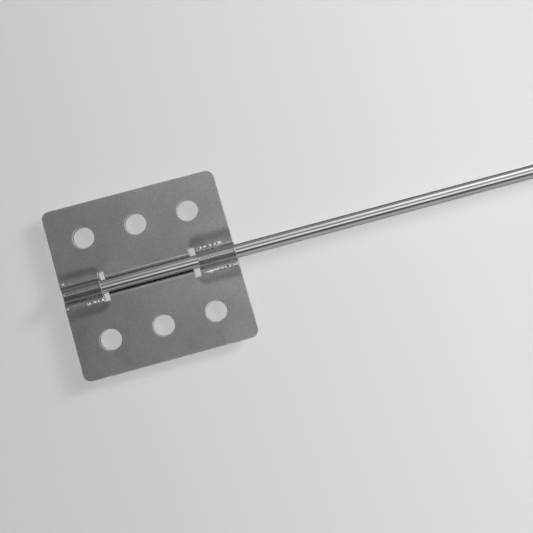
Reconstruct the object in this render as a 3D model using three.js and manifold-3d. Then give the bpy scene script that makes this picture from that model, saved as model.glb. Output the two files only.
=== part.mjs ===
// Mortar mixing paddle: one square sheet blade, pressed so that it wraps a
// straight round shaft, and welded to it.
//
// Frame, in millimetres: the shaft's axis is the X axis and the origin is the
// centre of its drive-end face, so the drill is on the +X side and the blade on
// the -X side. The blade's wings lie in the XY plane, their mid-thickness at
// z = 0, and the bridges bulge towards +Z, which is the blade's front.

import * as THREE from 'three';
import { mergeVertices } from 'three/addons/utils/BufferGeometryUtils.js';
import Module from 'manifold-3d';

// ---------------------------------------------------------------- dimensions
const OVERALL = 610;            // blade tip edge to drive-end face (24 in)
const SHAFT_D = 12;             // round bar, fits a 13 mm (1/2 in) chuck
const SHAFT_CHAMFER = 1.0;
const SHAFT_INSET = 0.5;        // shaft's tip end sits this far inside the blade's edge
const FLAT_LEN = 32;            // three chuck flats at the drive end
const FLAT_OFF = 5.35;          // distance of each flat from the axis

const BLADE = 157.5;            // side of the square blade
const SHEET = 1.5;              // sheet thickness
const CORNER_R = 7;             // blade corner radius
const HOLE_D = 19;              // six mixing holes
const HOLE_PITCH = 47.5;        // along the shaft, and from the axis to each row

const FIT_GAP = 0.3;            // between bar and sheet, and round each weld
const LIP_R = 3.2;              // mid-sheet radius where a wing bends into a bridge
const BRIDGE_LEN = 35;          // each end bridge, measured from the blade's edge
const SLOT_W = 5.2;             // relief slot between a bridge and the channel
const SLOT_HALF = 13.4;         // half of the slot's length across the shaft
const SLOT_R = 0.8;             // slot corner radius

// ------------------------------------------------------------------- helpers
const wasm = await Module();
wasm.setup();

const X0 = -OVERALL;            // x of the blade's tip edge
const X1 = X0 + BLADE;          // x of the blade's neck edge
const R_MID = SHAFT_D / 2 + FIT_GAP + SHEET / 2;   // bend radius round the bar
const LIP_Y = Math.sqrt((R_MID + LIP_R) ** 2 - LIP_R ** 2);
const PHI = Math.atan2(LIP_R, LIP_Y);

function toSolid(geometry) {
  const g = geometry.clone();
  g.deleteAttribute('normal');
  g.deleteAttribute('uv');
  const m = mergeVertices(g, 1e-4);
  const index = m.index ? m.index.array : Array.from({ length: m.attributes.position.count }, (_, i) => i);
  return new wasm.Manifold(new wasm.Mesh({
    numProp: 3,
    vertProperties: new Float32Array(m.attributes.position.array),
    triVerts: new Uint32Array(index),
  }));
}

function toGeometry(solid) {
  const mesh = solid.getMesh();
  const g = new THREE.BufferGeometry();
  g.setAttribute('position', new THREE.BufferAttribute(new Float32Array(mesh.vertProperties), 3));
  g.setIndex(new THREE.BufferAttribute(new Uint32Array(mesh.triVerts), 1));
  g.computeVertexNormals();
  return g;
}

// A closed outline in the YZ plane, pushed along X from x0 to x1.
function alongX(points, x0, x1) {
  const shape = new THREE.Shape(points.map(([y, z]) => new THREE.Vector2(y, z)));
  const g = new THREE.ExtrudeGeometry(shape, { depth: x1 - x0, bevelEnabled: false, steps: 1 });
  const m = new THREE.Matrix4().set(
    0, 0, 1, x0,
    1, 0, 0, 0,
    0, 1, 0, 0,
    0, 0, 0, 1);
  g.applyMatrix4(m);
  return g;
}

function arc(cy, cz, r, a0, a1, n) {
  const out = [];
  for (let i = 0; i <= n; i++) {
    const a = a0 + (a1 - a0) * i / n;
    out.push([cy + r * Math.cos(a), cz + r * Math.sin(a)]);
  }
  return out;
}

// Cross-section of the sheet where it wraps the bar: over its front (side = 1)
// or behind it (side = -1). It runs a little way into the flat wings.
function wrapProfile(side, reach) {
  const t = SHEET / 2;
  const face = (d) => {                 // d = +t: outside of the bend, -t: inside
    const right = arc(LIP_Y, LIP_R, LIP_R - d, 1.5 * Math.PI, Math.PI + PHI, 7);
    const over = arc(0, 0, R_MID + d, PHI, Math.PI - PHI, 20);
    const left = right.slice().reverse().map(([y, z]) => [-y, z]);
    return [[reach, d], ...right, ...over.slice(1, -1), ...left, [-reach, d]];
  };
  const outline = [...face(t), ...face(-t).reverse()];
  return side > 0 ? outline : outline.map(([y, z]) => [y, -z]).reverse();
}

function roundedRect(target, x0, y0, x1, y1, r, n) {
  const c = [[x1 - r, y1 - r, 0], [x0 + r, y1 - r, 90], [x0 + r, y0 + r, 180], [x1 - r, y0 + r, 270]];
  const pts = [];
  for (const [cx, cy, a0] of c) {
    for (let i = 0; i <= n; i++) {
      const a = (a0 + 90 * i / n) * Math.PI / 180;
      pts.push(new THREE.Vector2(cx + r * Math.cos(a), cy + r * Math.sin(a)));
    }
  }
  target.setFromPoints(pts);
  return target;
}

function circlePath(x, y, r, n) {
  const p = new THREE.Path();
  const pts = [];
  for (let i = 0; i < n; i++) {
    const a = -2 * Math.PI * i / n;
    pts.push(new THREE.Vector2(x + r * Math.cos(a), y + r * Math.sin(a)));
  }
  p.setFromPoints(pts);
  return p;
}

// ---------------------------------------------------------------- materials
const satinSteel = () => new THREE.MeshStandardMaterial({ color: 0x86868a, roughness: 0.42, metalness: 1.0 });
const polishedSteel = () => new THREE.MeshStandardMaterial({ color: 0xb4b1ab, roughness: 0.14, metalness: 1.0 });
const weldMetal = () => new THREE.MeshStandardMaterial({ color: 0x9c9a98, roughness: 0.34, metalness: 1.0 });

const paddle = new THREE.Group();
function add(name, geometry, material) {
  const mesh = new THREE.Mesh(geometry, material);
  mesh.name = name;
  paddle.add(mesh);
  return mesh;
}

// -------------------------------------------------------------------- blade
{
  const reach = SLOT_HALF;
  const edge = BLADE / 2 + 5;
  const wing = (s) => {
    const y0 = s > 0 ? reach : -edge;
    const y1 = s > 0 ? edge : -reach;
    return [[y0, -SHEET / 2], [y1, -SHEET / 2], [y1, SHEET / 2], [y0, SHEET / 2]];
  };
  const tipEnd = X0 + BRIDGE_LEN;
  const neckStart = X1 - BRIDGE_LEN;
  // the flat wings, full length, then the two bridges and the channel between them
  let sheet = toSolid(alongX(wing(1), X0 - 5, X1 + 5))
    .add(toSolid(alongX(wing(-1), X0 - 5, X1 + 5)))
    .add(toSolid(alongX(wrapProfile(1, reach + 2), X0 - 5, tipEnd)))
    .add(toSolid(alongX(wrapProfile(-1, reach + 2), tipEnd + SLOT_W, neckStart - SLOT_W)))
    .add(toSolid(alongX(wrapProfile(1, reach + 2), neckStart, X1 + 5)));

  // plan outline: rounded square with the six holes
  const plan = roundedRect(new THREE.Shape(), X0, -BLADE / 2, X1, BLADE / 2, CORNER_R, 10);
  const xc = (X0 + X1) / 2;
  for (const i of [-1, 0, 1]) {
    for (const j of [-1, 1]) {
      plan.holes.push(circlePath(xc + i * HOLE_PITCH, j * HOLE_PITCH, HOLE_D / 2, 56));
    }
  }
  const cutter = new THREE.ExtrudeGeometry(plan, { depth: 40, bevelEnabled: false });
  cutter.translate(0, 0, -20);
  sheet = sheet.intersect(toSolid(cutter));

  // the relief slots' rounded ends
  for (const xs of [tipEnd, neckStart - SLOT_W]) {
    const slot = roundedRect(new THREE.Shape(), xs, -SLOT_HALF, xs + SLOT_W, SLOT_HALF, SLOT_R, 4);
    const g = new THREE.ExtrudeGeometry(slot, { depth: 8, bevelEnabled: false });
    g.translate(0, 0, -4);
    sheet = sheet.subtract(toSolid(g));
  }
  add('blade', toGeometry(sheet), satinSteel());
}

// -------------------------------------------------------------------- shaft
{
  const r = SHAFT_D / 2;
  const c = SHAFT_CHAMFER;
  const len = OVERALL - SHAFT_INSET;
  const profile = [[0, 0], [r - c, 0], [r, c], [r, len - c], [r - c, len], [0, len]]
    .map(([a, b]) => new THREE.Vector2(a, b));
  const g = new THREE.LatheGeometry(profile, 64);
  g.rotateZ(-Math.PI / 2);              // lathe axis onto +X
  g.translate(X0 + SHAFT_INSET, 0, 0);
  let bar = toSolid(g);
  for (const k of [0, 1, 2]) {
    const cut = new THREE.BoxGeometry(FLAT_LEN + 5, 14, 4);
    cut.translate(-FLAT_LEN + (FLAT_LEN + 5) / 2, 0, FLAT_OFF + 2);
    cut.rotateX(k * 2 * Math.PI / 3);
    bar = bar.subtract(toSolid(cut));
  }
  add('shaft', toGeometry(bar), polishedSteel());
}

// -------------------------------------------------------------------- welds
// A weld run: a slim round-ended bead with a gentle ripple along its length.
function bead(length, width, height, ripple) {
  const n = Math.max(6, Math.round(length / ripple));
  const pts = [new THREE.Vector2(0, 0)];
  for (let i = 0; i <= 2 * n; i++) {
    const s = i / (2 * n);
    const end = Math.sqrt(Math.max(0, 1 - Math.pow(Math.abs(2 * s - 1), 8)));
    const r = (i % 2 ? 1.0 : 0.9) * (0.35 + 0.65 * end);
    pts.push(new THREE.Vector2(r, s * length));
  }
  pts.push(new THREE.Vector2(0, length));
  const g = new THREE.LatheGeometry(pts, 10);
  g.rotateZ(-Math.PI / 2);
  g.scale(1, width / 2, height / 2);
  return g;
}

const FRONT_Z = SHEET / 2 + FIT_GAP;    // underside of a bead lying on the front
const frontBead = (name, u0, u1, y, width, height) => {
  const g = bead(u1 - u0, width, height, 2.2);
  g.translate(X0 + u0, y, FRONT_Z + height / 2 + 0.02);
  add(name, g, weldMetal());
};
// u is measured from the blade's tip edge towards the drive end
frontBead('weld_neck_upper_front', 125.0, 147.5, 11.4, 2.9, 0.9);
frontBead('weld_neck_lower_front', 125.5, 156.5, -11.4, 2.9, 0.9);
frontBead('weld_tip_lower_front', 19.5, 34.5, -11.4, 2.9, 0.9);

for (const [name, u, y] of [['tack_tip_upper', 3.4, 11.3], ['tack_tip_lower', 1.9, -11.4]]) {
  const g = new THREE.SphereGeometry(1, 12, 8);
  g.scale(1.2, 1.2, 0.45);
  g.translate(X0 + u, y, FRONT_Z + 0.47);
  add(name, g, weldMetal());
}

// Fillet runs behind each bridge, in the groove between the bar and the sheet:
// these hold the blade on the shaft.
const BACK_Y = 7.55;
const BACK_Z = -2.6;
for (const [where, u0] of [['tip', 2.0], ['neck', BLADE - BRIDGE_LEN + 1.5]]) {
  for (const [side, s] of [['upper', 1], ['lower', -1]]) {
    const g = bead(31.5, 3.1, 3.1, 2.6);
    g.translate(X0 + u0, s * BACK_Y, BACK_Z);
    add(`weld_${where}_${side}_back`, g, weldMetal());
  }
}

export default paddle;
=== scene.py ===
# Mortar mixing paddle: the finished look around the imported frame.
import bpy, bmesh, math
import numpy as np
from mathutils import Vector, Matrix, geometry


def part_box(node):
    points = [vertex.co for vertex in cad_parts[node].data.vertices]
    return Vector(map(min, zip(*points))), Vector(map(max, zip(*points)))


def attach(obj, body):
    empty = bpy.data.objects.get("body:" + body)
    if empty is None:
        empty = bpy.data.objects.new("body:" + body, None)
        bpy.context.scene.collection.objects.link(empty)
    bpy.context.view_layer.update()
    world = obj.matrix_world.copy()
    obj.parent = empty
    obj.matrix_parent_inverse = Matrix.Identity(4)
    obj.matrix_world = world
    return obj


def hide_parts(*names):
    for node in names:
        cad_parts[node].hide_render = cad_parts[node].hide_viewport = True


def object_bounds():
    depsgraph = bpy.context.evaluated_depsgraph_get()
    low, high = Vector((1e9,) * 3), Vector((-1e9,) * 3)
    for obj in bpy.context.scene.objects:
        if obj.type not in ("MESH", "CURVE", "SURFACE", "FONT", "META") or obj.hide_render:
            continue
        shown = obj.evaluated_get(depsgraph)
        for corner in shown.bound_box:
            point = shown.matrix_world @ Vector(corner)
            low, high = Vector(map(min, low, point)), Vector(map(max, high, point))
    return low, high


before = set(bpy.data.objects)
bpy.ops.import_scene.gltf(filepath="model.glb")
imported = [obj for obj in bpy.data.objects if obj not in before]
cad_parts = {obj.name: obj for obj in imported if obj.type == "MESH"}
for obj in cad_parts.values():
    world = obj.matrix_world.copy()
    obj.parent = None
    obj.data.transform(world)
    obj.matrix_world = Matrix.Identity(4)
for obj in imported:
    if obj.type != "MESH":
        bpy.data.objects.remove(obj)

CAD_LO, CAD_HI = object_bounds()
MM = 0.001

# ------------------------------------------------------------------ lengths, in mm, read off the CAD boxes
b_lo, b_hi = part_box("blade")
s_lo, s_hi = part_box("shaft")
X0, X1 = b_lo[0] / MM, b_hi[0] / MM            # blade: tip edge and neck edge
HALF = b_hi[1] / MM                            # half of the blade's side
BULGE = b_hi[2] / MM                           # top of the bridges
SR = s_hi[1] / MM                              # shaft radius
SHEET = 1.5
GAP = 0.3
R_MID = SR + GAP + SHEET / 2
LIP_R = 3.2
CORNER_R = 7.0
HOLE_R = 9.5
PITCH = 47.5
BRIDGE = 35.0
SLOT_W = 5.2
SLOT_HALF = 13.4
SLOT_R = 0.8
FLAT_LEN = 32.0
FLAT_OFF = 5.35
LIP_Y = math.sqrt((R_MID + LIP_R) ** 2 - LIP_R ** 2)
PHI = math.atan2(LIP_R, LIP_Y)
A_MAX = math.pi / 2 - PHI
S_ARCH = R_MID * A_MAX
S_LIP = (R_MID + LIP_R) * A_MAX
EXTRA = S_LIP - LIP_Y                          # flat-pattern length minus plan length
XC = (X0 + X1) / 2
rng = np.random.default_rng(7)


def lerp(a, b, t):
    return a + (b - a) * t


def sstep(a, b, x):
    t = np.clip((np.asarray(x, float) - a) / (b - a), 0, 1)
    return t * t * (3 - 2 * t)


# ------------------------------------------------------------------ node helpers
def new_material(name):
    m = bpy.data.materials.new(name)
    m.use_nodes = True
    nt = m.node_tree
    nt.nodes.clear()
    out = nt.nodes.new("ShaderNodeOutputMaterial")
    p = nt.nodes.new("ShaderNodeBsdfPrincipled")
    nt.links.new(p.outputs["BSDF"], out.inputs["Surface"])
    return m, nt, p


class G:
    """A few short words for building node graphs."""

    def __init__(self, nt):
        self.nt = nt
        self.pos = nt.nodes.new("ShaderNodeTexCoord").outputs["Object"]

    def link(self, a, b):
        self.nt.links.new(a, b)

    def put(self, v, sock):
        if isinstance(v, bpy.types.NodeSocket):
            self.nt.links.new(v, sock)
        else:
            sock.default_value = v

    def math(self, op, a, b=0.0, c=0.0, clamp=False):
        n = self.nt.nodes.new("ShaderNodeMath")
        n.operation = op
        n.use_clamp = clamp
        self.put(a, n.inputs[0]); self.put(b, n.inputs[1]); self.put(c, n.inputs[2])
        return n.outputs[0]

    def xyz(self, v=None):
        n = self.nt.nodes.new("ShaderNodeSeparateXYZ")
        self.put(v if v is not None else self.pos, n.inputs[0])
        return n.outputs

    def combine(self, x, y, z):
        n = self.nt.nodes.new("ShaderNodeCombineXYZ")
        self.put(x, n.inputs[0]); self.put(y, n.inputs[1]); self.put(z, n.inputs[2])
        return n.outputs[0]

    def scaled(self, s, loc=(0, 0, 0), v=None):
        n = self.nt.nodes.new("ShaderNodeMapping")
        self.put(v if v is not None else self.pos, n.inputs["Vector"])
        n.inputs["Scale"].default_value = s
        n.inputs["Location"].default_value = loc
        return n.outputs[0]

    def noise(self, vec, scale, detail=3.0, rough=0.55, dist=0.0):
        n = self.nt.nodes.new("ShaderNodeTexNoise")
        self.put(vec, n.inputs["Vector"])
        n.inputs["Scale"].default_value = scale
        n.inputs["Detail"].default_value = detail
        n.inputs["Roughness"].default_value = rough
        n.inputs["Distortion"].default_value = dist
        return n.outputs["Fac"]

    def remap(self, v, a, b, c=0.0, d=1.0, smooth=False):
        n = self.nt.nodes.new("ShaderNodeMapRange")
        n.interpolation_type = "SMOOTHSTEP" if smooth else "LINEAR"
        self.put(v, n.inputs["Value"])
        n.inputs["From Min"].default_value = a
        n.inputs["From Max"].default_value = b
        n.inputs["To Min"].default_value = c
        n.inputs["To Max"].default_value = d
        return n.outputs["Result"]

    def mix(self, fac, a, b, mode="MIX"):
        n = self.nt.nodes.new("ShaderNodeMix")
        n.data_type = "RGBA"
        n.blend_type = mode
        self.put(fac, n.inputs[0])
        for v, s in ((a, n.inputs[6]), (b, n.inputs[7])):
            if isinstance(v, bpy.types.NodeSocket):
                self.nt.links.new(v, s)
            else:
                s.default_value = (*v, 1.0) if len(v) == 3 else v
        return n.outputs[2]

    def ramp(self, v, stops):
        n = self.nt.nodes.new("ShaderNodeValToRGB")
        self.put(v, n.inputs[0])
        e = n.color_ramp.elements
        while len(e) > 1:
            e.remove(e[-1])
        e[0].position = stops[0][0]; e[0].color = (*stops[0][1], 1)
        for p, c in stops[1:]:
            k = e.new(p); k.color = (*c, 1)
        return n.outputs["Color"]

    def attr(self, name):
        n = self.nt.nodes.new("ShaderNodeAttribute")
        n.attribute_name = name
        return n.outputs["Fac"]

    def bump(self, height, strength, distance, normal=None):
        n = self.nt.nodes.new("ShaderNodeBump")
        self.put(height, n.inputs["Height"])
        n.inputs["Strength"].default_value = strength
        n.inputs["Distance"].default_value = distance
        if normal is not None:
            self.link(normal, n.inputs["Normal"])
        return n.outputs["Normal"]


# ------------------------------------------------------------------ materials
def blade_material():
    m, nt, p = new_material("blade_sheet_satin")
    g = G(nt)
    x, y, z = g.xyz()
    # rolling grain along the shaft, a fine mottle and a finer frost over it
    streak = g.noise(g.scaled((60, 1500, 1500)), 1.0, 3.0, 0.6)
    mottle = g.noise(g.pos, 560.0, 3.0, 0.76)
    frost = g.noise(g.pos, 2600.0, 3.0, 0.7)
    cloud = g.noise(g.pos, 24.0, 4.0, 0.6, 0.6)
    smudge = g.noise(g.scaled((40, 52, 52), (3.1, 0.4, 0)), 1.0, 4.0, 0.6, 0.9)
    # painted shade: the sheet's tone rises from the tip edge to the neck edge, standing in for the light that falls
    # more on the neck end
    along = g.remap(x, -0.61, -0.4525, 0.0, 1.0)
    base = g.mix(along, (0.416, 0.411, 0.423), (0.594, 0.587, 0.605))
    # heat tint and painted shade beside the bridges: dark rings with a paler zone next to the weld, partly the weld's
    # own heat tint and partly painted shade of the dished sheet there
    heat_and_shade = g.attr("scorch_and_shade")
    wob = g.remap(g.noise(g.pos, 190.0, 4.0, 0.65), 0.3, 0.7, -0.16, 0.16)
    h = g.math("ADD", heat_and_shade, g.math("MULTIPLY", wob, heat_and_shade), clamp=True)
    tint = g.ramp(h, [(0.0, (1.0, 1.0, 1.0)), (0.14, (0.96, 0.96, 0.96)), (0.34, (0.68, 0.67, 0.665)), (0.52, (0.53, 0.515, 0.51)),
                      (0.72, (0.56, 0.545, 0.535)), (1.0, (0.80, 0.78, 0.77))])
    col = g.mix(1.0, base, tint, "MULTIPLY")
    press = g.attr("press")                       # 1 on the pressed bridges and channel
    # painted shade: the pressed parts take a darker tone, stepping from darker on the tip bridge to lighter from the
    # tip slot on, standing in for the light that falls more on the neck end
    pcol = g.mix(g.remap(x, -0.575, -0.565, 0.0, 1.0), (0.386, 0.384, 0.382), (0.506, 0.492, 0.476))
    col = g.mix(g.math("MULTIPLY", press, 0.85), col, pcol)
    crest_highlight = g.attr("crest_highlight")                       # painted highlight: a pale, smoother line along the crest of the bridge nearer the drive end, standing in for a lamp's reflection
    col = g.mix(g.math("MULTIPLY", crest_highlight, 0.9), col, (0.95, 0.94, 0.93))
    seam = g.attr("seam")
    col = g.mix(g.math("MULTIPLY", seam, g.remap(mottle, 0.35, 0.65, 0.1, 0.75)), col, (0.62, 0.61, 0.60))
    col = g.mix(g.remap(cloud, 0.3, 0.7, 0.0, 0.16), col, (0.58, 0.58, 0.59))
    col = g.mix(g.remap(mottle, 0.36, 0.64, 0.0, 1.0), g.mix(1.0, col, (0.885, 0.885, 0.887), "MULTIPLY"), g.mix(1.0, col, (1.08, 1.08, 1.085), "MULTIPLY"))
    col = g.mix(g.remap(frost, 0.25, 0.75, 0.0, 0.22), col, (0.36, 0.36, 0.365))
    col = g.mix(g.remap(smudge, 0.56, 0.76, 0.0, 0.15), col, (0.34, 0.34, 0.342))
    edge = g.attr("edge")                         # 1 on a cut edge, 0 inside
    col = g.mix(g.math("MULTIPLY", edge, 0.85), col, (0.80, 0.80, 0.80))
    g.link(col, p.inputs["Base Color"])
    r = g.math("ADD", g.remap(streak, 0.2, 0.8, 0.285, 0.325), g.remap(cloud, 0.3, 0.7, -0.025, 0.03))
    r = g.math("ADD", r, g.remap(smudge, 0.58, 0.8, 0.0, 0.06))
    r = g.math("ADD", r, g.math("MULTIPLY", h, 0.03))
    r = g.math("SUBTRACT", r, g.math("MULTIPLY", press, 0.055))
    r = g.math("SUBTRACT", r, g.math("MULTIPLY", crest_highlight, 0.10))
    r = g.math("SUBTRACT", r, g.math("MULTIPLY", edge, 0.08))
    g.link(r, p.inputs["Roughness"])
    p.inputs["Metallic"].default_value = 1.0
    p.inputs["Anisotropic"].default_value = 0.25
    n1 = g.bump(frost, 0.10, 0.00004)
    n2 = g.bump(streak, 0.03, 0.00003, n1)
    n3 = g.bump(mottle, 0.10, 0.00010, n2)
    n4 = g.bump(cloud, 0.08, 0.0004, n3)
    g.link(n4, p.inputs["Normal"])
    return m


def shaft_material():
    m, nt, p = new_material("shaft_bar_polished")
    g = G(nt)
    x, y, z = g.xyz()
    ang = g.math("ARCTAN2", z, y)
    wrap = g.combine(x, g.math("MULTIPLY", ang, 0.006), 0.0)
    rings = g.noise(g.scaled((5200, 90, 1), v=wrap), 1.0, 2.0, 0.55)         # centreless-ground lay
    drawn = g.noise(g.scaled((14, 900, 900)), 1.0, 3.0, 0.6)
    haze = g.noise(g.pos, 34.0, 4.0, 0.6, 0.4)
    scuff = g.noise(g.scaled((700, 160, 160), (0.3, 0, 0)), 1.0, 4.0, 0.7, 1.4)
    wear = g.remap(scuff, 0.66, 0.78, 0.0, 1.0)
    col = g.mix(g.remap(haze, 0.35, 0.7, 0.0, 1.0), (0.655, 0.638, 0.615), (0.715, 0.703, 0.685))
    col = g.mix(g.math("MULTIPLY", wear, 0.25), col, (0.45, 0.44, 0.43))
    # chuck end: rubbed by jaws
    jaw = g.remap(x, -0.036, -0.030, 0.0, 1.0, True)
    col = g.mix(g.math("MULTIPLY", jaw, 0.2), col, (0.50, 0.50, 0.50))
    g.link(col, p.inputs["Base Color"])
    r = g.math("ADD", g.remap(rings, 0.3, 0.7, 0.075, 0.115), g.remap(haze, 0.3, 0.7, 0.0, 0.045))
    r = g.math("ADD", r, g.math("MULTIPLY", wear, 0.10))
    r = g.math("ADD", r, g.math("MULTIPLY", jaw, 0.10))
    g.link(r, p.inputs["Roughness"])
    p.inputs["Metallic"].default_value = 1.0
    p.inputs["Specular Tint"].default_value = (0.50, 0.47, 0.43, 1.0)     # duller, warmer at grazing angles
    n1 = g.bump(rings, 0.10, 0.00002)
    n2 = g.bump(drawn, 0.05, 0.00004, n1)
    g.link(n2, p.inputs["Normal"])
    return m


def weld_material():
    m, nt, p = new_material("weld_metal_rippled")
    g = G(nt)
    fine = g.noise(g.pos, 2200.0, 3.0, 0.7)
    patch = g.noise(g.pos, 420.0, 4.0, 0.65, 0.5)
    crown = g.attr("crown")                       # 1 on top of a ripple, 0 at the toe
    col = g.ramp(g.remap(patch, 0.3, 0.72, 0.0, 1.0),
                 [(0.0, (0.66, 0.64, 0.62)), (0.45, (0.82, 0.81, 0.79)), (0.8, (0.90, 0.89, 0.88)), (1.0, (0.76, 0.75, 0.78))])
    col = g.mix(g.remap(crown, 0.0, 0.45, 0.75, 0.0), col, (0.26, 0.25, 0.24))
    g.link(col, p.inputs["Base Color"])
    r = g.math("ADD", g.remap(fine, 0.3, 0.7, 0.12, 0.22), g.remap(crown, 0.0, 0.6, 0.2, 0.0))
    g.link(r, p.inputs["Roughness"])
    p.inputs["Metallic"].default_value = 1.0
    g.link(g.bump(fine, 0.25, 0.00004), p.inputs["Normal"])
    return m


MAT_BLADE = blade_material()
MAT_SHAFT = shaft_material()
MAT_WELD = weld_material()


# ------------------------------------------------------------------ mesh helpers
def make_object(name, verts_mm, faces, mat, attrs=None, smooth=True):
    me = bpy.data.meshes.new(name)
    me.from_pydata([tuple(v) for v in (np.asarray(verts_mm) * MM)], [], faces)
    me.validate()
    for a, vals in (attrs or {}).items():
        at = me.attributes.new(a, "FLOAT", "POINT")
        at.data.foreach_set("value", np.asarray(vals, dtype=np.float32))
    me.polygons.foreach_set("use_smooth", [smooth] * len(me.polygons))
    me.materials.append(mat)
    o = bpy.data.objects.new(name, me)
    bpy.context.scene.collection.objects.link(o)
    return o


def recalc_outward(o):
    bm = bmesh.new()
    bm.from_mesh(o.data)
    bmesh.ops.recalc_face_normals(bm, faces=bm.faces)
    bm.to_mesh(o.data)
    bm.free()


# ------------------------------------------------------------------ blade
def round_rect_loop(x0, y0, x1, y1, r, e, step_fn, ncorner):
    """Rounded rectangle sampled once (for e = 0) and offset inwards by e."""
    pts = []
    def side(ax, ay, bx, by, nx, ny):
        L = math.hypot(bx - ax, by - ay)
        t = 0.0
        ts = []
        while t < L - 1e-9:
            ts.append(t)
            px, py = lerp(ax, bx, t / L), lerp(ay, by, t / L)
            t += step_fn(px, py)
        if len(ts) > 1 and L - ts[-1] < 0.4 * step_fn(bx, by):
            ts.pop()
        for t in ts[1:]:
            pts.append((lerp(ax, bx, t / L) + nx * e, lerp(ay, by, t / L) + ny * e))
    def corner(cx, cy, a0):
        for i in range(ncorner + 1):
            a = math.radians(a0 + 90 * i / ncorner)
            pts.append((cx + (r - e) * math.cos(a), cy + (r - e) * math.sin(a)))
    corner(x1 - r, y1 - r, 0)
    side(x1 - r, y1, x0 + r, y1, 0, -1)
    corner(x0 + r, y1 - r, 90)
    side(x0, y1 - r, x0, y0 + r, 1, 0)
    corner(x0 + r, y0 + r, 180)
    side(x0 + r, y0, x1 - r, y0, 0, 1)
    corner(x1 - r, y0 + r, 270)
    side(x1, y0 + r, x1, y1 - r, -1, 0)
    return np.array(pts)


S_EDGE = HALF + EXTRA
S_SLOT = SLOT_HALF + EXTRA
SLOTS = [(X0 + BRIDGE, X0 + BRIDGE + SLOT_W), (X1 - BRIDGE - SLOT_W, X1 - BRIDGE)]
HOLES = [(XC + i * PITCH, j * (PITCH + EXTRA)) for j in (1, -1) for i in (-1, 0, 1)]


def outline_loops(e):
    """All boundary loops of the flat pattern (x, s), moved e into the material."""
    loops = [round_rect_loop(X0, -S_EDGE, X1, S_EDGE, CORNER_R, e,
                             lambda x, s: 0.5 if abs(s) < S_LIP + 2 else 2.4, 16)]
    for cx, cs in HOLES:
        a = np.linspace(0, 2 * math.pi, 96, endpoint=False)
        loops.append(np.stack([cx + (HOLE_R + e) * np.cos(a), cs + (HOLE_R + e) * np.sin(a)], 1))
    for a, b in SLOTS:
        loops.append(round_rect_loop(a, -S_SLOT, b, S_SLOT, SLOT_R, -e,
                                     lambda x, s: 0.5, 5))
    return loops


def sd_rbox(x, s, x0, x1, hs, r):
    qx = np.abs(x - (x0 + x1) / 2) - ((x1 - x0) / 2 - r)
    qs = np.abs(s) - (hs - r)
    return np.hypot(np.maximum(qx, 0), np.maximum(qs, 0)) + np.minimum(np.maximum(qx, qs), 0) - r


def inside_by(x, s):
    """Distance from the nearest cut edge, positive on material."""
    d = -sd_rbox(x, s, X0, X1, S_EDGE, CORNER_R)
    for cx, cs in HOLES:
        d = np.minimum(d, np.hypot(x - cx, s - cs) - HOLE_R)
    for a, b in SLOTS:
        d = np.minimum(d, sd_rbox(x, s, a, b, S_SLOT, SLOT_R))
    return d


WELD_Y = 11.4
def heat_tint_and_shade_field(x, y):
    """0 to 1: how strongly a place on the sheet beside each bridge takes the welding's heat tint and the painted shade
    of the dish there.
    """
    out = np.zeros_like(x)
    for a, b, fa, fb, reach in ((X0, X0 + BRIDGE, 0.9, 1.5, (14.5, 17.5)), (X1 - BRIDGE, X1, 1.5, 0.9, (19.0, 18.0))):
        dx = np.maximum(np.maximum((a + 4 - x) * fa, (x - b + 4) * fb), 0)
        for sgn, far in ((1, reach[0]), (-1, reach[1])):
            d = np.hypot(dx, y - sgn * 10.5)
            out = np.maximum(out, 1 - sstep(0.5, far, d))
    return out


def warp(x, y):
    """Slight unevenness of a hand-worked sheet, in mm, dying out at the shaft."""
    m = sstep(14, 40, np.abs(y))
    w = 0.22 * np.sin(0.021 * (x - X0) + 0.9 + 0.011 * y) + 0.16 * np.sin(0.043 * (x - X0) - 0.7 - 0.024 * y)
    w += 0.10 * np.cos(0.07 * y + 0.018 * (x - X0))
    return w * m


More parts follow.
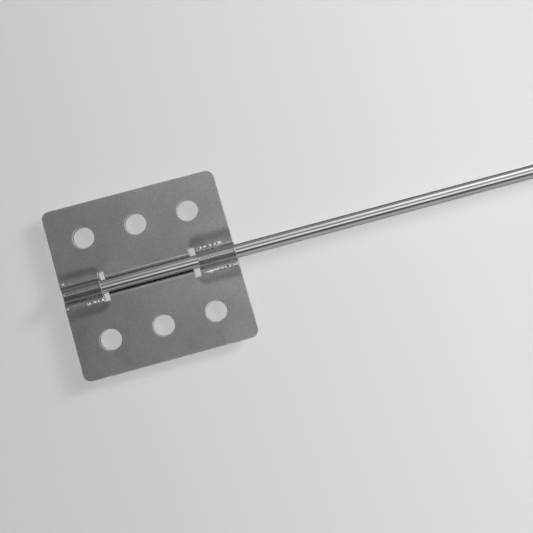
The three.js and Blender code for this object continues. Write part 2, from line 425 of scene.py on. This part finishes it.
def sheet_point(x, s, h):
    """Flat-pattern point (x, s) and height h above mid-sheet -> 3-D point in mm."""
    x = np.asarray(x, float); s = np.asarray(s, float); h = np.broadcast_to(np.asarray(h, float), x.shape)
    side = np.where((x > X0 + BRIDGE + SLOT_W / 2) & (x < X1 - BRIDGE - SLOT_W / 2), -1.0, 1.0)
    a = np.abs(s); sg = np.where(s < 0, -1.0, 1.0)
    al = np.minimum(a, S_ARCH) / R_MID
    gam = np.clip(A_MAX - (a - S_ARCH) / LIP_R, 0, A_MAX)
    arch = a <= S_ARCH
    flat = a >= S_LIP
    # the press leaves a crest along each bridge: two nearly flat flanks meeting over the bar
    beta = np.where(side > 0, math.radians(29), 0.0)
    soft = np.where(x > XC, 0.085, 0.06)
    rad = R_MID / np.cos(np.maximum(beta - np.sqrt(al * al + soft ** 2), 0.0))
    y = np.where(arch, rad * np.sin(al), np.where(flat, LIP_Y + a - S_LIP, LIP_Y - LIP_R * np.sin(gam)))
    z = np.where(arch, rad * np.cos(al), np.where(flat, 0.0, LIP_R - LIP_R * np.cos(gam)))
    tilt = np.where(arch, al, np.where(flat, 0.0, gam))
    ny = np.sin(tilt) * sg * side
    nz = np.cos(tilt)
    Y = y * sg
    Z = z * side
    # the pressed edges are drawn in a little where the sheet rises
    rise = np.clip(z / R_MID, 0, 1) ** 1.5
    dxl = 0.9 * rise * np.exp(-np.maximum(x - X0, 0) / 9) - 0.9 * rise * np.exp(-np.maximum(X1 - x, 0) / 9)
    for (p, q) in SLOTS:
        dxl = dxl - 0.25 * rise * np.exp(-np.abs(x - p) / 3) * (x < (p + q) / 2) + 0.25 * rise * np.exp(-np.abs(x - q) / 3) * (x > (p + q) / 2)
    w = warp(x, Y)
    # a shallow dish beside each bridge, from pressing and welding
    dish = np.zeros_like(x)
    for (p, q) in ((X0, X0 + BRIDGE), (X1 - BRIDGE, X1)):
        mx = sstep(p - 8, p + 6, x) * (1 - sstep(q - 6, q + 8, x)) if True else 0
        dish = dish + mx * np.exp(-((np.abs(Y) - 13.5) / 5.0) ** 2)
    dish = -0.16 * dish * sstep(9.0, 12.0, np.abs(Y))
    return np.stack([x + dxl, Y + ny * h, Z + nz * h + w + dish], -1)


def build_blade():
    eb = 0.34
    loops = outline_loops(eb)
    sup = outline_loops(0.78)
    pts, edges, loop_ids = [], [], []
    for lp in loops:
        base = len(pts)
        n = len(lp)
        pts += [tuple(p) for p in lp]
        edges += [(base + i, base + (i + 1) % n) for i in range(n)]
        loop_ids.append(list(range(base, base + n)))
    for lp in sup:
        pts += [tuple(p) for p in lp]
    # interior points
    def grid(dx, ds, s_lo, s_hi, margin):
        out = []
        xs = np.arange(X0 + dx * 0.5, X1, dx)
        ss = np.arange(s_lo + ds * 0.5, s_hi, ds)
        for k, s in enumerate(ss):
            off = 0.5 * dx if k % 2 else 0.0
            for x in xs + off:
                out.append((x, s))
        q = np.array(out)
        d = inside_by(q[:, 0], q[:, 1])
        return q[d > margin]
    g1 = grid(1.5, 0.72, -17, 17, 1.3)
    g2a = grid(1.7, 1.7, 17, 32, 1.5); g2b = grid(1.7, 1.7, -32, -17, 1.5)
    g3a = grid(2.8, 2.8, 32, S_EDGE, 1.9); g3b = grid(2.8, 2.8, -S_EDGE, -32, 1.9)
    for q in (g1, g2a, g2b, g3a, g3b):
        pts += [tuple(p) for p in q]
    res = geometry.delaunay_2d_cdt([Vector(p) for p in pts], edges, [], 0, 1e-6, True)
    v2, _, f2, ov = res[0], res[1], res[2], res[3]
    V = np.array([(v.x, v.y) for v in v2])
    inv = {}
    for i, src in enumerate(ov):
        for sidx in src:
            inv[sidx] = i
    tri = np.array([f for f in f2 if len(f) == 3])
    c = V[tri].mean(1)
    keep = inside_by(c[:, 0], c[:, 1]) > eb + 0.001     # a sliver between a hole's arc and its chord falls just short
    tri = tri[keep]
    # orient counter-clockwise in (x, s)
    A = V[tri]
    area = np.cross(A[:, 1] - A[:, 0], A[:, 2] - A[:, 0])
    tri = np.where((area < 0)[:, None], tri[:, ::-1], tri)
    used = np.unique(tri)
    remap = -np.ones(len(V), int); remap[used] = np.arange(len(used))
    tri = remap[tri]; U = V[used]
    n = len(U)
    front = sheet_point(U[:, 0], U[:, 1], SHEET / 2)
    back = sheet_point(U[:, 0], U[:, 1], -SHEET / 2)
    d0 = inside_by(U[:, 0], U[:, 1])
    verts = [front, back]
    edge_at = [np.exp(-np.maximum(d0, 0) / 0.45), np.exp(-np.maximum(d0, 0) / 0.45)]
    faces = [tuple(t) for t in tri] + [tuple(t[::-1] + n) for t in tri]
    count = 2 * n
    prof = []
    for k in range(1, 5):
        a = math.radians(90 * k / 4)
        prof.append((eb * (1 - math.sin(a)), SHEET / 2 - eb * (1 - math.cos(a))))
    prof = prof + [(e, -h) for e, h in prof[::-1]]
    ring_loops = [outline_loops(e) for e, _ in prof]
    for li, ids in enumerate(loop_ids):
        m = len(ids)
        prev = [int(remap[inv[i]]) for i in ids]
        last = [p + n for p in prev]
        outer = li == 0
        for k, (e, h) in enumerate(prof):
            L = ring_loops[k][li]
            P = sheet_point(L[:, 0], L[:, 1], h)
            verts.append(P)
            edge_at.append(np.ones(m))
            cur = list(range(count, count + m))
            count += m
            for i in range(m):
                j = (i + 1) % m
                q = (prev[i], cur[i], cur[j], prev[j])
                faces.append(q if outer else q[::-1])
            prev = cur
        for i in range(m):
            j = (i + 1) % m
            q = (prev[i], last[i], last[j], prev[j])
            faces.append(q if outer else q[::-1])
    P = np.concatenate(verts)
    E = np.concatenate(edge_at)
    # heat tint of the welding and painted shade of the dished sheet beside the bridges
    H = heat_tint_and_shade_field(P[:, 0], P[:, 1])
    ay = np.abs(P[:, 1])
    onb = (P[:, 0] < X0 + BRIDGE + SLOT_W / 2) | (P[:, 0] > X1 - BRIDGE - SLOT_W / 2)
    press = (1 - sstep(8.4, 9.6, ay)) * np.where(onb, 1.0, 0.6)
    xt = P[:, 0] - X0
    seam = np.exp(-((ay - 11.2) / 1.0) ** 2) * ((xt < 33) * sstep(0, 3, xt) * (P[:, 1] < 0) + 0.6 * (xt < 12) * (P[:, 1] > 0))
    # painted highlight along the crest of the bridge nearer the drive end
    crest_highlight = np.exp(-((P[:, 1] - 0.0) / 0.50) ** 2) * (P[:, 0] > X1 - BRIDGE - SLOT_W / 2)
    o = make_object("blade_sheet", P, faces, MAT_BLADE, {"edge": E, "scorch_and_shade": H, "press": press, "seam": seam, "crest_highlight": crest_highlight})
    recalc_outward(o)
    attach(o, "root")
    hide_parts("blade")
    return o


# ------------------------------------------------------------------ shaft
def build_shaft():
    r = SR
    flats = [math.pi / 2 + k * 2 * math.pi / 3 for k in range(3)]
    half = math.acos(FLAT_OFF / r)
    ang = []
    for c in flats:
        ang += list(np.linspace(c - half, c + half, 24, endpoint=False))
        ang += list(np.linspace(c + half, c + 2 * math.pi / 3 - half, 36, endpoint=False))
    ang = np.array(ang)
    xs_lo = s_lo[0] / MM
    # rings: (x, radius scale, flat depth 0..1)
    rings = []
    ch = 1.0
    def soft_corner(xa, ra, xb, rb, xc, rc, rad, n=4):
        """Round the corner b of the path a-b-c."""
        a = np.array([xa, ra]); b = np.array([xb, rb]); c = np.array([xc, rc])
        u = (a - b) / np.linalg.norm(a - b); v = (c - b) / np.linalg.norm(c - b)
        p, q = b + u * rad, b + v * rad
        return [tuple((1 - t) ** 2 * p + 2 * t * (1 - t) * b + t * t * q) for t in np.linspace(0, 1, n)]
    tip = [(xs_lo, 2.0), (xs_lo, 3.8)]
    tip += soft_corner(xs_lo, 3.0, xs_lo, r - ch, xs_lo + ch, r, 0.18)
    tip += soft_corner(xs_lo, r - ch, xs_lo + ch, r, xs_lo + 5, r, 0.18)
    for x, rr in tip:
        rings.append((x, rr, 0.0))
    x = xs_lo + 4
    while x < -FLAT_LEN - 6:
        rings.append((x, r, 0.0))
        x += 6.0
    run = 2.2
    for t in np.linspace(0, 1, 9):
        # run-out of the milled flats, left by a round cutter
        rings.append((-FLAT_LEN - run + run * t, r, float(1 - (1 - t) ** 2) if t < 1 else 1.0))
    for x in np.linspace(-FLAT_LEN + 2, -4, 10):
        rings.append((x, r, 1.0))
    end = soft_corner(-5, r, -ch, r, 0, r - ch, 0.18) + soft_corner(-ch, r, 0, r - ch, 0, 3.0, 0.18) + [(0, 3.6), (0, 2.0)]
    for x, rr in end:
        rings.append((x, rr, 1.0))
    V = []
    for x, rr, fd in rings:
        rad = np.full(len(ang), rr)
        if fd > 0:
            for c in flats:
                dlt = (ang - c + math.pi) % (2 * math.pi) - math.pi
                off = lerp(r, FLAT_OFF, fd)
                lim = off / np.maximum(np.cos(dlt), 0.2)
                rad = np.where(np.abs(dlt) < 1.0, np.minimum(rad, lim), rad)
        V.append(np.stack([np.full(len(ang), x), rad * np.cos(ang), rad * np.sin(ang)], 1))
    V = np.concatenate(V)
    m = len(ang)
    F = []
    for k in range(len(rings) - 1):
        for i in range(m):
            j = (i + 1) % m
            F.append((k * m + i, k * m + j, (k + 1) * m + j, (k + 1) * m + i))
    F.append(tuple(range(m - 1, -1, -1)))
    F.append(tuple((len(rings) - 1) * m + i for i in range(m)))
    o = make_object("shaft_bar", V, F, MAT_SHAFT)
    recalc_outward(o)
    o.data.set_sharp_from_angle(angle=math.radians(18))
    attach(o, "root")
    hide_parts("shaft")
    return o


# ------------------------------------------------------------------ welds
def value_noise(seed, n=64):
    r = np.random.default_rng(seed)
    a = r.random(n + 3)
    def f(t):
        t = np.asarray(t, float) % n
        i = t.astype(int)
        u = t - i
        u = u * u * (3 - 2 * u)
        return a[i] * (1 - u) + a[i + 1] * u
    return f


def ripple_bead(name, node, x0, x1, path, seed, width, height, pitch, patchy=0.0, calm=0.0, nx_step=0.16, ny=26):
    """A weld run. path(t, n) gives, for position t along the run and n in -1..1 across it,
    the base point and the direction in which the bead stands up."""
    L = x1 - x0
    nx = int(L / nx_step)
    wob, hgt, wid, fine = (value_noise(seed + k) for k in range(4))
    tt = np.linspace(0, 1, nx)
    nn = np.linspace(-1, 1, ny)
    T, N = np.meshgrid(tt, nn, indexing="ij")
    X = x0 + T * L
    endf = np.sqrt(np.clip(1 - np.abs(2 * T - 1) ** (L / 1.6), 0, 1))
    phase = (X - x0) / pitch + 0.42 * N * N + 0.35 * wob(X * 0.35 + 9)
    saw = phase % 1.0
    scale = np.where(saw < 0.78, np.sin(saw / 0.78 * math.pi / 2) ** 0.8, np.cos((saw - 0.78) / 0.22 * math.pi / 2) ** 0.9)
    k = np.floor(phase)
    dab = 0.75 + 0.5 * hgt(k * 1.7 + 3)
    if patchy:
        dab = dab * lerp(1.0, np.clip(2.2 * (hgt(k * 0.9 + 20) - 0.25), 0.12, 1.2), patchy)
    even = 1 - sstep(calm - 0.06, calm + 0.06, T) if calm else np.zeros_like(T)
    scale = lerp(scale, 0.92, even)
    dab = lerp(dab, 0.70, even)
    dome = np.clip(1 - np.abs(N) ** 2.3, 0, 1) ** 0.8
    H = height * dome * dab * (0.35 + 0.65 * scale) * endf
    H = H + 0.05 * height * (fine(X * 2.1 + N * 5 + 7) - 0.5) * dome
    H = H + 0.42 * N * dome * endf * even          # the drawn-out stretch leans against the bridge as a fillet does
    W = width / 2 * (0.86 + 0.3 * wid(X * 0.5)) * (0.5 + 0.5 * endf) * lerp(1.0, 0.95, even)
    C = 0.35 * (wob(X * 0.28) - 0.5)
    top = path(X, N * W + C, H)
    low = path(X, N * W + C, np.full_like(H, -0.5))
    V = np.concatenate([top.reshape(-1, 3), low.reshape(-1, 3)])
    crown = np.concatenate([(dome * scale * endf).ravel(), np.zeros(nx * ny)])
    F = []
    off = nx * ny
    idx = lambda i, j: i * ny + j
    for i in range(nx - 1):
        for j in range(ny - 1):
            F.append((idx(i, j), idx(i + 1, j), idx(i + 1, j + 1), idx(i, j + 1)))
            F.append((off + idx(i, j), off + idx(i, j + 1), off + idx(i + 1, j + 1), off + idx(i + 1, j)))
    for i in range(nx - 1):
        F.append((idx(i, 0), off + idx(i, 0), off + idx(i + 1, 0), idx(i + 1, 0)))
        F.append((idx(i, ny - 1), idx(i + 1, ny - 1), off + idx(i + 1, ny - 1), off + idx(i, ny - 1)))
    for j in range(ny - 1):
        F.append((idx(0, j), idx(0, j + 1), off + idx(0, j + 1), off + idx(0, j)))
        F.append((idx(nx - 1, j), off + idx(nx - 1, j), off + idx(nx - 1, j + 1), idx(nx - 1, j + 1)))
    o = make_object(name, V, F, MAT_WELD, {"crown": crown})
    recalc_outward(o)
    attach(o, "root")
    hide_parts(node)
    return o


def front_path(yc):
    def f(X, off, H):
        s = np.sign(yc) * (abs(yc) + EXTRA) + off
        P = sheet_point(X, s, SHEET / 2 - 0.02)
        Q = sheet_point(X, s, SHEET / 2 + 0.98)
        return P + (Q - P) * H[..., None]
    return f


def back_path(sg):
    """Across the groove behind a bridge, from the bar's flank to the sheet's back."""
    a = np.array([5.05, -3.25]); b = np.array([10.3, -0.80])
    mid = (a + b) / 2
    u = (b - a) / np.linalg.norm(b - a)
    nrm = np.array([u[1], -u[0]])
    half = np.linalg.norm(b - a) / 2
    def f(X, off, H):
        t = off / 1.55 * half
        p = mid[None, None, :] + u[None, None, :] * t[..., None] + nrm[None, None, :] * (H[..., None] * 1.0)
        return np.stack([X, sg * p[..., 0], p[..., 1]], -1)
    return f


def tack(name, node, seed):
    lo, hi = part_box(node)
    cx, cy = (lo[0] + hi[0]) / 2 / MM, (lo[1] + hi[1]) / 2 / MM
    r = (hi[0] - lo[0]) / 2 / MM * 1.05
    fn = value_noise(seed)
    nr, na = 14, 40
    V, crown = [], []
    for i in range(nr + 1):
        q = i / nr
        for j in range(na):
            a = 2 * math.pi * j / na
            rr = r * q * (1 + 0.16 * (fn(j / na * 6) - 0.5))
            hgt = 0.55 * (1 - q ** 2.4) ** 0.75 * (1 + 0.10 * math.cos(q * 11)) if q < 1 else 0.0
            px, py = cx + rr * math.cos(a), cy + rr * math.sin(a)
            P = sheet_point(np.array([px]), np.array([math.copysign(abs(py) + EXTRA, py)]), SHEET / 2 - 0.03 + hgt)[0]
            V.append(P); crown.append(1 - q)
    base = len(V)
    for j in range(na):
        a = 2 * math.pi * j / na
        px, py = cx + 0.6 * r * math.cos(a), cy + 0.6 * r * math.sin(a)
        V.append(sheet_point(np.array([px]), np.array([math.copysign(abs(py) + EXTRA, py)]), 0.2)[0]); crown.append(0)
    F = []
    for i in range(nr):
        for j in range(na):
            k = (j + 1) % na
            F.append((i * na + j, (i + 1) * na + j, (i + 1) * na + k, i * na + k))
    for j in range(na):
        k = (j + 1) % na
        F.append((nr * na + j, base + j, base + k, nr * na + k))
    F.append(tuple(base + j for j in range(na)))
    F.append(tuple(range(na - 1, -1, -1)))
    o = make_object(name, V, F, MAT_WELD, {"crown": crown})
    bm = bmesh.new(); bm.from_mesh(o.data)
    bmesh.ops.remove_doubles(bm, verts=bm.verts, dist=1e-7)
    bmesh.ops.recalc_face_normals(bm, faces=bm.faces)
    bm.to_mesh(o.data); bm.free()
    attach(o, "root"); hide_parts(node)
    return o


build_blade()
build_shaft()
for node, seed, w, h, pitch, patchy, calm in (
        ("weld_neck_upper_front", 11, 3.4, 0.90, 4.4, 0.35, 0.0),
        ("weld_neck_lower_front", 23, 3.4, 0.95, 3.5, 0.15, 0.60),
        ("weld_tip_lower_front", 37, 3.0, 0.78, 3.9, 0.40, 0.0)):
    lo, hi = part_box(node)
    ripple_bead(node.replace("weld", "bead"), node, lo[0] / MM, hi[0] / MM,
                front_path((lo[1] + hi[1]) / 2 / MM), seed, w, h, pitch, patchy, calm)
for node, seed in (("weld_tip_upper_back", 41), ("weld_tip_lower_back", 53), ("weld_neck_upper_back", 67), ("weld_neck_lower_back", 79)):
    lo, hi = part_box(node)
    ripple_bead(node.replace("weld", "bead"), node, lo[0] / MM, hi[0] / MM,
                back_path(1 if lo[1] > 0 else -1), seed, 3.1, 1.0, 1.5, 0.0)
tack("tack_bead_upper", "tack_tip_upper", 91)
tack("tack_bead_lower", "tack_tip_lower", 97)

# ------------------------------------------------------------------ floor
FLOOR_Z = CAD_LO[2] - 0.0004
fm, fnt, fp = new_material("floor_pale")
fg = G(fnt)
fx, fy, fz = fg.xyz()
# painted light: the floor's colour brightens towards the drive end, standing in for light falling from that side
fcol = fg.mix(fg.remap(fx, -0.30, 0.50, 0.0, 1.0, True), (0.551, 0.546, 0.558), (0.766, 0.758, 0.772))
fcol = fg.mix(fg.remap(fg.noise(fg.pos, 3.0, 3.0), 0.3, 0.7, 0.0, 0.05), fcol, (0.80, 0.80, 0.80))
reach = fg.math("SQRT", fg.math("ADD", fg.math("MULTIPLY", fx, fx), fg.math("MULTIPLY", fy, fy)))
fcol = fg.mix(fg.remap(reach, 1.0, 3.2, 0.0, 1.0, True), fcol, (0.541, 0.539, 0.545))     # meets the horizon without a line
fg.link(fcol, fp.inputs["Base Color"])
fp.inputs["Roughness"].default_value = 0.75
bm = bmesh.new()
bmesh.ops.create_grid(bm, x_segments=4, y_segments=4, size=6.0)
fme = bpy.data.meshes.new("floor"); bm.to_mesh(fme); bm.free()
fme.materials.append(fm)
floor = bpy.data.objects.new("floor", fme)
floor.location = (XC * MM, 0, FLOOR_Z)
bpy.context.scene.collection.objects.link(floor)
floor.visible_glossy = False

# ------------------------------------------------------------------ world: a plain soft studio
world = bpy.data.worlds.new("studio")
world.use_nodes = True
bpy.context.scene.world = world
wn = world.node_tree
wn.nodes.clear()
w_out = wn.nodes.new("ShaderNodeOutputWorld")
w_bg = wn.nodes.new("ShaderNodeBackground")
wn.links.new(w_bg.outputs[0], w_out.inputs[0])
wg = G(wn)
tc = wn.nodes.new("ShaderNodeTexCoord")
dx, dy, dz = wg.xyz(tc.outputs["Generated"])
ang = wg.math("MULTIPLY", wg.math("ARCTAN2", dy, dz), 180 / math.pi)      # 0 overhead, + towards the blade's upper wing
ANGS = (-90, -75, -66, -58, -45, -37, -31, -17, -4, 1, 8, 16, 22, 28, 41, 55, 62, 75, 90)
TIP = (.42, .32, .24, .12, .08, .12, .46, .86, .52, .24, .22, .27, .32, .44, .48, .40, .28, .22, .28)
MID = (.48, .38, .27, .12, .07, .11, .58, 1.24, .70, .26, .22, .32, .46, .78, .84, .66, .30, .20, .26)
END = (.52, .40, .28, .13, .09, .14, .66, 1.36, .74, .34, .34, .48, .78, 1.45, 1.7, 1.30, .42, .24, .28)
pos01 = wg.remap(ang, -90, 90, 0.0, 1.0)
def table(levels):
    return wg.ramp(pos01, [((a + 90) / 180, (v / 2,) * 3) for a, v in zip(ANGS, levels)])
look = wg.mix(wg.remap(dx, 0.02, 0.11, 0, 1), table(TIP), table(MID))
look = wg.mix(wg.remap(dx, 0.11, 0.25, 0, 1), look, table(END))
level = wg.math("MULTIPLY", wg.xyz(look)[0], 2.0)
level = wg.math("MULTIPLY", level, wg.remap(dx, -0.16, 0.06, 0.40, 1.0))
soft_l = wg.math("MULTIPLY", wg.remap(dx, -0.36, -0.50, 0.0, 0.65, True), wg.remap(dz, 0.15, 0.35, 0, 1, True))
soft_r = wg.math("MULTIPLY", wg.remap(dx, 0.34, 0.50, 0.0, 0.65, True), wg.remap(dz, 0.15, 0.35, 0, 1, True))
level = wg.math("ADD", level, wg.math("ADD", soft_l, soft_r))
low = wg.remap(dz, 0.05, 0.15, 1.0, 0.0, True)                               # a plain horizon
level = wg.math("ADD", wg.math("MULTIPLY", level, wg.math("SUBTRACT", 1.0, low)), wg.math("MULTIPLY", low, 0.55))
under = wg.remap(dz, -0.02, -0.10, 0.0, 1.0, True)                           # what the metal sees below the horizon
floor_tone = wg.remap(dy, -0.25, 0.25, 0.46, 0.20, True)
level = wg.math("ADD", wg.math("MULTIPLY", level, wg.math("SUBTRACT", 1.0, under)), wg.math("MULTIPLY", under, floor_tone))
wn.links.new(wg.combine(level, level, level), w_bg.inputs["Color"])
w_bg.inputs["Strength"].default_value = 1.0
world.cycles_visibility.diffuse = False          # the floor is lit by the lamps, the metal reflects the studio


def area(name, loc, target, size, power, size_y=None):
    l = bpy.data.lights.new(name, "AREA")
    l.energy = power
    l.shape = "RECTANGLE"
    l.size = size
    l.size_y = size_y or size
    o = bpy.data.objects.new(name, l)
    o.location = loc
    o.rotation_euler = (Vector(loc) - Vector(target)).to_track_quat("Z", "Y").to_euler()
    o.visible_camera = False
    bpy.context.scene.collection.objects.link(o)
    return o


def sun(name, towards, strength, angle):
    l = bpy.data.lights.new(name, "SUN")
    l.energy = strength
    l.angle = math.radians(angle)
    o = bpy.data.objects.new(name, l)
    o.rotation_euler = Vector(towards).to_track_quat("Z", "Y").to_euler()
    o.visible_glossy = False
    bpy.context.scene.collection.objects.link(o)
    return o


sun("front", (-0.10, -0.22, 0.97), 2.38, 5)                 # fills the holes and the relief cuts
sun("key", (1.53, 0.50, 0.62), 1.35, 16)                     # low and wide, from the drive end
grad = area("grade", (0.90, 0.15, 1.10), (-0.20, 0, 0), 0.6, 4.5)
grad.visible_glossy = False

# ------------------------------------------------------------------ camera
cam = bpy.data.cameras.new("camera")
cam.lens = 117.8126
cam.sensor_width = 36.0
cam.clip_end = 50
co = bpy.data.objects.new("camera", cam)
right = Vector((0.9603230192, -0.2761459533, 0.0390270576))
up = Vector((0.2594792271, 0.9359860478, 0.2379089092))
back = Vector((-0.1022263640, -0.2183426913, 0.9705030859))
co.matrix_world = Matrix(((right.x, up.x, back.x, -0.5873695387), (right.y, up.y, back.y, -0.3561900598),
                          (right.z, up.z, back.z, 1.4920917777), (0, 0, 0, 1)))
bpy.context.scene.collection.objects.link(co)
bpy.context.scene.camera = co
bpy.context.scene.view_settings.view_transform = "Standard"
